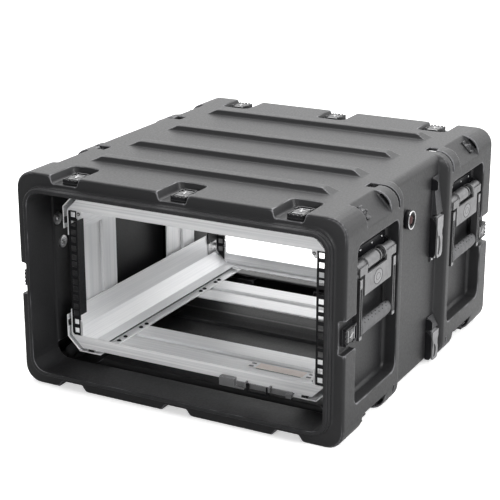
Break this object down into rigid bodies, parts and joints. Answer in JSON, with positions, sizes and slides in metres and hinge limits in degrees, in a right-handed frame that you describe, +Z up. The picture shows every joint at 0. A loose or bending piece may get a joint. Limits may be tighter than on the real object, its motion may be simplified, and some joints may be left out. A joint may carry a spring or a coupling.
{
  "type": "equipment rack case",
  "caption": "Moulded shock-rack case body with lids off: open ends, drop handles, side latches, and a sprung frame with a sliding 19-inch rack frame.",
  "frame": {"origin": "centre of the footprint, on the ground plane", "axes": "+X to the right seen from the front, +Y from the front opening to the rear opening, +Z up"},
  "size_m": [0.604, 0.681, 0.386],
  "materials": {
    "shell_plastic": "fine moulded texture, satin",
    "frame_aluminium": "mill finish, lightly brushed lengthways",
    "isolator_rubber": "matte",
    "rail_black": "satin black powder coat",
    "release_steel": "satin black",
    "handle_base_steel": "satin black",
    "handle_metal": "zinc plated, matte",
    "grip_rubber": "matte, finger grooves",
    "latch_black": "satin black",
    "latch_grey": "zinc plated, matte",
    "valve_black": "satin",
    "valve_button": "satin, dark red brown",
    "stud_metal": "zinc plated"
  },
  "bodies": {
    "case": {"corner_angle_lower_left": "frame_aluminium", "corner_angle_lower_right": "frame_aluminium", "corner_angle_upper_left": "frame_aluminium", "corner_angle_upper_right": "frame_aluminium", "corner_stud_front_lower_left": "stud_metal", "corner_stud_front_lower_right": "stud_metal", "corner_stud_front_upper_left": "stud_metal", "corner_stud_front_upper_right": "stud_metal", "corner_stud_rear_lower_left": "stud_metal", "corner_stud_rear_lower_right": "stud_metal", "corner_stud_rear_upper_left": "stud_metal", "corner_stud_rear_upper_right": "stud_metal", "handle_base_front_left": "handle_base_steel", "handle_base_front_right": "handle_base_steel", "handle_base_rear_left": "handle_base_steel", "handle_base_rear_right": "handle_base_steel", "hoop_front": "frame_aluminium", "hoop_rear": "frame_aluminium", "isolator_front_lower_left": "isolator_rubber", "isolator_front_lower_right": "isolator_rubber", "isolator_front_upper_left": "isolator_rubber", "isolator_front_upper_right": "isolator_rubber", "isolator_rear_lower_left": "isolator_rubber", "isolator_rear_lower_right": "isolator_rubber", "isolator_rear_upper_left": "isolator_rubber", "isolator_rear_upper_right": "isolator_rubber", "latch_base_lower_left": "latch_black", "latch_base_lower_right": "latch_black", "latch_base_upper_left": "latch_black", "latch_base_upper_right": "latch_black", "shell": "shell_plastic", "valve_body": "valve_black"},
    "rack_frame": {"cross_plate_front_lower": "frame_aluminium", "cross_plate_front_upper": "frame_aluminium", "cross_plate_rear_lower": "frame_aluminium", "cross_plate_rear_upper": "frame_aluminium", "rack_rail_front_left": "rail_black", "rack_rail_front_right": "rail_black", "rack_rail_rear_left": "rail_black", "rack_rail_rear_right": "rail_black", "release_catch": "frame_aluminium", "side_member_lower_left": "frame_aluminium", "side_member_lower_right": "frame_aluminium", "side_member_upper_left": "frame_aluminium", "side_member_upper_right": "frame_aluminium"},
    "release_pull": {"release_pull": "release_steel"},
    "valve_button": {"valve_button": "valve_button"},
    "handle_front_right": {"handle_frame_front_right": "handle_metal", "handle_grip_front_right": "grip_rubber"},
    "handle_front_left": {"handle_frame_front_left": "handle_metal", "handle_grip_front_left": "grip_rubber"},
    "handle_rear_right": {"handle_frame_rear_right": "handle_metal", "handle_grip_rear_right": "grip_rubber"},
    "handle_rear_left": {"handle_frame_rear_left": "handle_metal", "handle_grip_rear_left": "grip_rubber"},
    "latch_upper_right": {"latch_lever_upper_right": "latch_grey"},
    "latch_upper_left": {"latch_lever_upper_left": "latch_grey"},
    "latch_lower_right": {"latch_lever_lower_right": "latch_grey"},
    "latch_lower_left": {"latch_lever_lower_left": "latch_grey"}
  },
  "joints": [
    {"name": "rack_frame_slide", "type": "slide", "parent": "case", "child": "rack_frame", "axis": [0, -1, 0], "range_m": [0, 0.5]},
    {"name": "release_pull_hinge", "type": "hinge", "parent": "rack_frame", "child": "release_pull", "pos_m": [0.126, -0.2755, 0.0545], "axis": [-1, 0, 0], "range_deg": [0, 90]},
    {"name": "valve_button_press", "type": "slide", "parent": "case", "child": "valve_button", "axis": [-1, 0, 0], "range_m": [0, 0.0018]},
    {"name": "handle_front_right_hinge", "type": "hinge", "parent": "case", "child": "handle_front_right", "pos_m": [0.2909, -0.202, 0.2825], "axis": [0, -1, 0], "range_deg": [0, 90]},
    {"name": "handle_front_left_hinge", "type": "hinge", "parent": "case", "child": "handle_front_left", "pos_m": [-0.2909, -0.202, 0.2825], "axis": [0, 1, 0], "range_deg": [0, 90]},
    {"name": "handle_rear_right_hinge", "type": "hinge", "parent": "case", "child": "handle_rear_right", "pos_m": [0.2909, 0.202, 0.2825], "axis": [0, -1, 0], "range_deg": [0, 90]},
    {"name": "handle_rear_left_hinge", "type": "hinge", "parent": "case", "child": "handle_rear_left", "pos_m": [-0.2909, 0.202, 0.2825], "axis": [0, 1, 0], "range_deg": [0, 90]},
    {"name": "latch_upper_right_hinge", "type": "hinge", "parent": "case", "child": "latch_upper_right", "pos_m": [0.2915, 0.079, 0.272], "axis": [0, -1, 0], "range_deg": [0, 75]},
    {"name": "latch_upper_left_hinge", "type": "hinge", "parent": "case", "child": "latch_upper_left", "pos_m": [-0.2915, 0.079, 0.272], "axis": [0, 1, 0], "range_deg": [0, 75]},
    {"name": "latch_lower_right_hinge", "type": "hinge", "parent": "case", "child": "latch_lower_right", "pos_m": [0.2915, 0.079, 0.06], "axis": [0, -1, 0], "range_deg": [0, 75]},
    {"name": "latch_lower_left_hinge", "type": "hinge", "parent": "case", "child": "latch_lower_left", "pos_m": [-0.2915, 0.079, 0.06], "axis": [0, 1, 0], "range_deg": [0, 75]}
  ]
}
